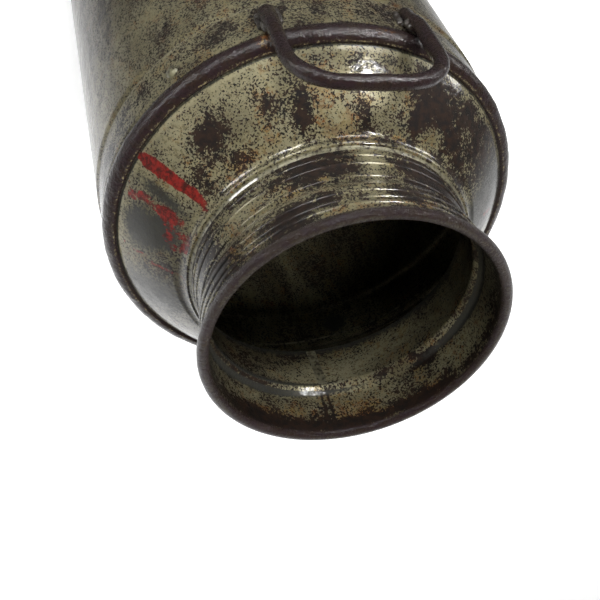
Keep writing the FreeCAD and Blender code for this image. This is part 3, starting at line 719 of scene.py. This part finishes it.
def make_neck():
    """Neck, step, bowl and rolled rim in one sheet, with ridges outside, and drips, stains, a painted pool
    of light and painted shade inside.
    """
    # where the rim's curl ends, as a turn round its wire
    tail = math.radians(252)
    space = ROLL_R - NECK_SHEET
    bowl_outer = BOWL_R + NECK_SHEET
    step = 9
    outline = [
        (NECK_LOW_R, NECK_BOTTOM),
        (NECK_R, NECK_TOP),
        (BOWL_R, NECK_TOP + step),
        (BOWL_R, RIM_Z),
        (ROLL_CENTRE, RIM_Z + ROLL_R, ROLL_R, 1),
        (ROLL_CENTRE + ROLL_R, RIM_Z, ROLL_R, 1),
        (ROLL_CENTRE + ROLL_R * math.cos(tail), RIM_Z + ROLL_R * math.sin(tail), ROLL_R, 1),
        (ROLL_CENTRE + space * math.cos(tail), RIM_Z + space * math.sin(tail)),
        (ROLL_CENTRE + space, RIM_Z, space, -1),
        (ROLL_CENTRE, RIM_Z + space, space, -1),
        (bowl_outer, RIM_Z, space, -1),
    ]
    for height in BOWL_RIDGES:
        outline += ridge(lambda z: bowl_outer, height)
    # the step's corners on the outside sit a little lower than on the inside
    outline += [(bowl_outer, NECK_TOP + step - 0.6), (NECK_R + NECK_SHEET, NECK_TOP - 0.8)]
    for height in NECK_RIDGES:
        outline += ridge(neck_outside, height)
    outline.append((neck_outside(NECK_BOTTOM), NECK_BOTTOM))
    neck = lathe("can_neck", outline, segments=640, step=2.0)
    rim_outside = [ring(RIM_Z + 1.0, 4.0, 1.5)]
    rim_inside = [ring(RIM_Z + 3.0, 2.6, 1.5)]
    stain(neck, {
        "rust": [
            spot(-102, 594, 8, 5, 0.5), spot(-75, 594, 6, 7, 0.5), spot(-60, 597, 9, 12, 0.6),
            spot(-25, 595, 11, 14, 0.5), spot(-43, 597, 6, 9, -0.4), spot(-90, 604, 24, 4, -0.3),
            spot(-115, 558, 14, 20, 0.65), spot(-95, 560, 3.5, 18, -0.7), spot(-71, 558, 13, 18, 0.55),
            spot(-74.5, 570, 3, 3.5, -0.7), spot(-55, 550, 5, 5, -0.5), spot(-40, 563, 9, 12, -0.4),
            spot(-43, 553, 2, 3, 0.8), spot(-38, 553, 1.5, 3, 0.8), spot(-17, 560, 13, 20, 0.6),
            spot(-150, 580, 25, 30, 0.3), spot(60, 570, 40, 30, 0.2),
        ],
        "warm": [
            spot(-90, 605, 26, 4, 0.5), spot(-74.5, 570, 3, 3.5, 1.0), spot(-62, 575, 8, 8, 0.4),
            spot(-40, 590, 10, 6, 0.4), spot(-125, 600, 14, 6, 0.3),
        ],
        "pale": [
            spot(-92, 605, 22, 3.5, 0.6), spot(-95, 560, 3.5, 18, 0.8), spot(-55, 550, 5, 5, 0.5),
            spot(-42, 565, 9, 12, 0.5), spot(-43, 598, 6, 9, 0.5),
        ],
        "grime_and_shade": [spot(-5, 575, 12, 40, 0.5)],
        "pits": rim_outside,
    }, {
        "rust": [
            ring(RIM_Z - 3.5, 4.0, 0.5), spot(60, 610, 22, 7, 0.45), spot(96, 613, 12, 5, 0.6),
            spot(128, 610, 10, 6, 0.3), spot(88.4, 590, 0.6, 60, 0.8), spot(91.2, 590, 0.6, 60, 0.8),
            spot(94, 566, 4, 7, 0.35), spot(141, 585, 5, 6, 1.0), spot(100, 597, 8, 6, -0.1),
            spot(30, 595, 20, 15, 0.2), spot(108, 578, 8, 6, -0.4),
            # the two rings here take rust away, painting light onto the inner wall
            ring(562, 16, -0.4), ring(597, 9, -0.2), spot(48, 562, 22, 16, 0.35),
        ],
        "warm": [spot(101, 604, 8, 10, 1.5), spot(60, 605, 20, 8, 0.8), spot(120, 612, 25, 4, 0.9)],
        "pale": [
            spot(100, 603, 4, 5, 0.5), spot(98, 566, 16, 10, 0.55), spot(84, 597, 3, 10, 0.5),
            # a painted pool of light on the far inner wall
            spot(100, 562, 34, 16, 0.5), ring(598, 9, 0.3),
        ],
        "grime_and_shade": [
            spot(60, 580, 44, 5, 1.9), spot(172, 584, 30, 4, 1.7), spot(225, 584, 30, 4, 1.2),
            # the ring at the neck's bottom is painted shade deep inside
            ring(NECK_BOTTOM, 7, 0.8), spot(200, 560, 40, 20, 0.4), spot(20, 570, 30, 30, 0.6),
        ],
        "pits": rim_inside,
    }, lambda z: np.where(z < NECK_TOP + 4, neck_inside(z), BOWL_R) + NECK_SHEET / 2)
    return finish_piece(neck, "neck_bowl", TIN_NECK)


# ---------------------------------------------------------------- rivet, handles and welds


def make_rivet():
    """A hand-peened rivet head, a little lumpy, turned about its own radial axis."""
    seat = SKIRT_R + GAP
    rise = 2.8
    shank = 2.0
    tail = SWAGE_R - SHEET - GAP
    tail_r = 3.2
    tail_thick = 1.0
    head = lathe("skirt_rivet", [
        (0.0, tail - tail_thick),
        (tail_r, tail - tail_thick),
        (tail_r, tail),
        (shank, tail),
        (shank, seat),
        (RIVET_HEAD, seat),
        (RIVET_HEAD * 0.72, seat + rise * 0.72, 6.0, -1),
        (0.0, seat + rise, 7.0, -1),
    ], segments=48, step=0.8)
    clean_axis(head)
    hammer(head, (2.4, 0.28, SEED + 4))
    lay_down = Matrix.Rotation(math.radians(90), 4, "Y")
    turn = Matrix.Rotation(math.radians(RIVET_ANGLE), 4, "Z")
    head.data.transform(Matrix.Translation((0, 0, RIVET_Z * MM)) @ turn @ lay_down)
    return finish_piece(head, "hoop_rivet", RIVET_METAL)


def handle_path(middle):
    """Stations along a handle from one foot to the other: centre, half width and half depth."""
    seat = SKIRT_R + FOOT_SEAT
    turn = math.radians(middle)
    out = np.array([math.cos(turn), math.sin(turn), 0.0])
    across = np.array([-math.sin(turn), math.cos(turn), 0.0])
    # a little thin, to leave room for the hammered lumps
    radius = ROD_R - 0.3

    def foot(hand):
        angle = turn + math.radians(hand * FOOT_ANGLE)
        radial = np.array([math.cos(angle), math.sin(angle), 0.0])
        stations = []
        # height over the foot's tip, half width, half depth, and distance of the middle from the skirt
        for rise, wide, deep, away in (
            (0.0, FOOT_WIDE * 0.3, FOOT_DEEP * 0.3, FOOT_DEEP * 0.8),
            (0.9, FOOT_WIDE * 0.75, FOOT_DEEP * 0.75, FOOT_DEEP * 0.85),
            (3.0, FOOT_WIDE, FOOT_DEEP, FOOT_DEEP),
            (10.0, FOOT_WIDE, FOOT_DEEP, FOOT_DEEP),
            (20.0, FOOT_WIDE, ROD_R * 0.9, ROD_R + 1.3),
        ):
            centre = radial * (seat + away)
            centre[2] = FOOT_Z + rise
            stations.append((centre, radial, wide, deep))
        return stations

    def rod(x, z):
        centre = out * REACH + across * x
        centre[2] = z
        return (centre, out, radius, radius)

    def half(hand):
        stations = foot(hand) + [rod(hand * HANDLE_HALF, LEG_LOW)]
        for bend in np.radians(np.arange(0, 91, 10)):
            inward = GRIP_CORNER * (1 - math.cos(bend))
            height = GRIP_Z - GRIP_CORNER * (1 - math.sin(bend))
            stations.append(rod(hand * (HANDLE_HALF - inward), height))
        return stations

    return half(-1) + half(1)[::-1]


def softened(run, values, places, reach):
    """Values given at distances run, read at places and averaged over reach places each way."""
    columns = []
    for column in values.T:
        dense = np.interp(places, run, column)
        # the ends stay put, because the padding is the end's own mirror image through it
        padded = np.pad(dense, reach, mode="reflect", reflect_type="odd")
        columns.append(np.convolve(padded, np.ones(2 * reach + 1) / (2 * reach + 1), mode="valid"))
    return np.stack(columns, 1)


def make_handle(name, node, middle, seed):
    """One bent, hammered rod with its two feet beaten flat."""
    stations = handle_path(middle)
    centres = np.array([s[0] for s in stations])
    outs = np.array([s[1] for s in stations])
    sizes = np.array([s[2:] for s in stations])
    run = np.concatenate([[0.0], np.cumsum(np.linalg.norm(np.diff(centres, axis=0), axis=1))])
    ring_spacing = 1.3
    count = round(run[-1] / ring_spacing)
    places = np.linspace(0.0, run[-1], count)
    centres = softened(run, centres, places, 4)
    outs = softened(run, outs, places, 4)
    sizes = softened(run, sizes, places, 1)
    tangents = np.gradient(centres, axis=0)
    tangents /= np.linalg.norm(tangents, axis=1)[:, None]
    outs -= tangents * np.sum(outs * tangents, axis=1)[:, None]
    outs /= np.linalg.norm(outs, axis=1)[:, None]
    sides = np.cross(tangents, outs)
    around = 36
    turns = np.arange(around) * 2 * math.pi / around
    rings = (
        centres[:, None]
        + sides[:, None] * (sizes[:, 0, None] * np.cos(turns))[..., None]
        + outs[:, None] * (sizes[:, 1, None] * np.sin(turns))[..., None]
    )
    vertices = rings.reshape(-1, 3) * MM
    faces = [tuple(range(around)), tuple(range((count - 1) * around, count * around))[::-1]]
    for i in range(count - 1):
        for k in range(around):
            n = (k + 1) % around
            faces.append((i * around + n, i * around + k, (i + 1) * around + k, (i + 1) * around + n))
    handle = new_mesh(name, vertices, faces, 60.0)
    # the bars' finish reads the stains, and a rod has none
    stain(handle, {})
    hammer(handle, (16, 0.35, seed), (6, 0.22, seed + 1), (2.5, 0.08, seed + 2))
    return finish_piece(handle, node, DARK_BAR)


def make_weld(name, node, angle, rng):
    """Beads of weld metal up both sides of a foot and a fillet over the hoop, melted into one."""
    beside = math.degrees((FOOT_WIDE + 0.5) / SKIRT_R)
    bead_r = SKIRT_R + 0.9
    fillet_r = SKIRT_R + 4.6
    blobs = []
    for hand in (-1, 1):
        for height in np.arange(FOOT_Z + 2.5, CORNER_Z - 3.0, 0.8):
            turn = angle + hand * beside + rng.normal(0, 0.1)
            blobs.append((turn, bead_r, height, rng.uniform(2.3, 2.8)))
    for height in np.arange(CORNER_Z + 1.0, CORNER_Z + 6.0, 1.5):
        for off in (-1.2, 1.2):
            turn = angle + off + rng.normal(0, 0.2)
            blobs.append((turn, fillet_r, height, rng.uniform(3.0, 4.0)))
    work = bmesh.new()
    for turn, away, height, size in blobs:
        place = Matrix.Rotation(math.radians(turn), 4, "Z") @ Matrix.Translation((away * MM, 0, height * MM))
        bmesh.ops.create_icosphere(work, subdivisions=3, radius=size * MM, matrix=place)
    mesh = bpy.data.meshes.new(name)
    work.to_mesh(mesh)
    work.free()
    weld = bpy.data.objects.new(name, mesh)
    bpy.context.scene.collection.objects.link(weld)
    melt = weld.modifiers.new("melt", "REMESH")
    melt.mode = "VOXEL"
    melt.voxel_size = 0.55 * MM
    smooth = weld.modifiers.new("smooth", "SMOOTH")
    smooth.iterations = 8
    evaluated = weld.evaluated_get(bpy.context.evaluated_depsgraph_get())
    weld.data = bpy.data.meshes.new_from_object(evaluated)
    weld.modifiers.clear()
    weld.data.shade_smooth()
    hammer(weld, (2.2, 0.25, SEED + 5))
    return finish_piece(weld, node, WELD_METAL)


def make_handles():
    """Both handles and the four welds at their feet."""
    rng = np.random.default_rng(SEED)
    for end, side_on, seed in (("front", -90.0, 31), ("rear", 90.0, 41)):
        middle = side_on + HANDLE_TURN
        make_handle(f"{end}_carrying_handle", f"{end}_handle", middle, seed)
        for side, hand in (("left", -1), ("right", 1)):
            angle = middle + hand * FOOT_ANGLE
            make_weld(f"{end}_{side}_weld_bead", f"{end}_{side}_weld", angle, rng)


def dress_solder():
    """The solder lines and the wire keep their CAD meshes and get a finish."""
    for node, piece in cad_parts.items():
        if "solder" in node or node == "rim_wire":
            piece.data.materials.clear()
            piece.data.materials.append(SOLDER)


make_body()
make_pan()
make_foot()
make_breast()
make_hoop()
make_neck()
make_rivet()
make_handles()
dress_solder()

# ---------------------------------------------------------------- floor, lights and camera


def make_floor():
    """A wide pale floor, which glows a little so that it stays white all round the can."""
    bpy.ops.mesh.primitive_plane_add(size=12.0)
    floor = bpy.context.object
    floor.name = "floor"
    s = Shader("PaleFloor")
    s.bsdf.inputs["Base Color"].default_value = (0.88, 0.88, 0.88, 1.0)
    s.bsdf.inputs["Roughness"].default_value = 0.9
    s.bsdf.inputs["Emission Color"].default_value = (1.0, 1.0, 1.0, 1.0)
    s.bsdf.inputs["Emission Strength"].default_value = 0.6
    floor.data.materials.append(s.material)
    # the floor lights the can but is not mirrored in its varnish
    floor.visible_glossy = False


def make_backdrop():
    """A pale round wall behind every view. Only the camera sees it, so it neither lights nor shades."""
    bpy.ops.mesh.primitive_cylinder_add(
        vertices=96, radius=5.9, depth=12.0, end_fill_type="NOTHING", location=(0.0, 0.0, 5.9)
    )
    wall = bpy.context.object
    wall.name = "backdrop"
    wall.data.shade_smooth()
    s = Shader("PaleWall")
    s.bsdf.inputs["Base Color"].default_value = (0.0, 0.0, 0.0, 1.0)
    s.bsdf.inputs["Emission Color"].default_value = (1.0, 1.0, 1.0, 1.0)
    s.bsdf.inputs["Emission Strength"].default_value = 0.9
    wall.data.materials.append(s.material)
    wall.visible_diffuse = False
    wall.visible_glossy = False
    wall.visible_transmission = False
    wall.visible_shadow = False


def make_world():
    """Dark in front, bright low down behind, so that only the can's far edges mirror a pale grey."""
    world = bpy.data.worlds.new("Studio")
    bpy.context.scene.world = world
    world.use_nodes = True
    tree = world.node_tree
    coord = tree.nodes.new("ShaderNodeTexCoord")
    split = tree.nodes.new("ShaderNodeSeparateXYZ")
    ramp = tree.nodes.new("ShaderNodeValToRGB")
    ramp.color_ramp.elements[0].position = 0.10
    ramp.color_ramp.elements[0].color = (0.05, 0.05, 0.05, 1.0)
    ramp.color_ramp.elements[1].position = 0.70
    ramp.color_ramp.elements[1].color = (1.0, 1.0, 1.0, 1.0)
    fade = tree.nodes.new("ShaderNodeMapRange")
    fade.inputs["From Min"].default_value = -0.05
    fade.inputs["From Max"].default_value = 0.25
    fade.inputs["To Min"].default_value = 1.0
    fade.inputs["To Max"].default_value = 0.3
    shade = tree.nodes.new("ShaderNodeVectorMath")
    shade.operation = "SCALE"
    tree.links.new(coord.outputs["Generated"], split.inputs[0])
    tree.links.new(split.outputs["Y"], ramp.inputs["Fac"])
    tree.links.new(split.outputs["Z"], fade.inputs["Value"])
    tree.links.new(ramp.outputs["Color"], shade.inputs[0])
    tree.links.new(fade.outputs[0], shade.inputs["Scale"])
    tree.links.new(shade.outputs[0], tree.nodes["Background"].inputs["Color"])
    tree.nodes["Background"].inputs["Strength"].default_value = 1.2


def lamp(name, azimuth, elevation, wide, tall, power, mirrored=True):
    """A lamp aimed at the shoulder, wide by tall metres, from an azimuth and an elevation in degrees.

    A lamp that is not mirrored only fills in the shade, and leaves no glint in the varnish.
    """
    light = bpy.data.lights.new(name, "AREA")
    light.shape = "RECTANGLE"
    light.size = wide
    light.size_y = tall
    light.energy = power
    piece = bpy.data.objects.new(name, light)
    piece.visible_glossy = mirrored
    distance = 2.2
    shoulder = Vector((0.0, 0.0, 0.5))
    lift = math.radians(elevation)
    turn = math.radians(azimuth)
    way = Vector((math.cos(lift) * math.cos(turn), math.cos(lift) * math.sin(turn), math.sin(lift)))
    piece.location = shoulder + way * distance
    piece.rotation_euler = (-way).to_track_quat("-Z", "Y").to_euler()
    bpy.context.scene.collection.objects.link(piece)


def make_lights():
    """A key, long thin lamps that leave crisp glints, and two soft fills that light the open neck."""
    lamp("key", -118, 20, 0.20, 0.20, 18)
    for name, azimuth, elevation, power in (
        ("strip_a", -152, -7, 6), ("strip_b", -112, 4, 8), ("strip_c", -70, 4, 13),
        ("strip_d", -30, -2, 9), ("strip_e", 12, -8, 0.8),
    ):
        lamp(name, azimuth, elevation, 0.9, 0.16, power)
    lamp("fill", -84, 30, 0.8, 0.8, 13, mirrored=False)
    lamp("above", -90, 72, 0.6, 0.6, 60, mirrored=False)


def make_camera():
    """Above the front handle, looking down into the mouth, with the can hanging head down in view."""
    # fitted to the photograph's rim, hoop and body edges
    data = bpy.data.cameras.new("camera")
    data.lens = 57.717
    data.sensor_width = 36.0
    camera = bpy.data.objects.new("camera", data)
    right = Vector((-0.9661, -0.1209, 0.2280)).normalized()
    back = Vector((0.2477, -0.6830, 0.6871)).normalized()
    up = back.cross(right).normalized()
    turn = Matrix((right, up, back)).transposed().to_4x4()
    camera.matrix_world = Matrix.Translation((0.1967, -0.4556, 1.0384)) @ turn
    bpy.context.scene.collection.objects.link(camera)
    bpy.context.scene.camera = camera


make_floor()
make_backdrop()
make_world()
make_lights()
make_camera()
bpy.context.scene.view_settings.view_transform = "Standard"
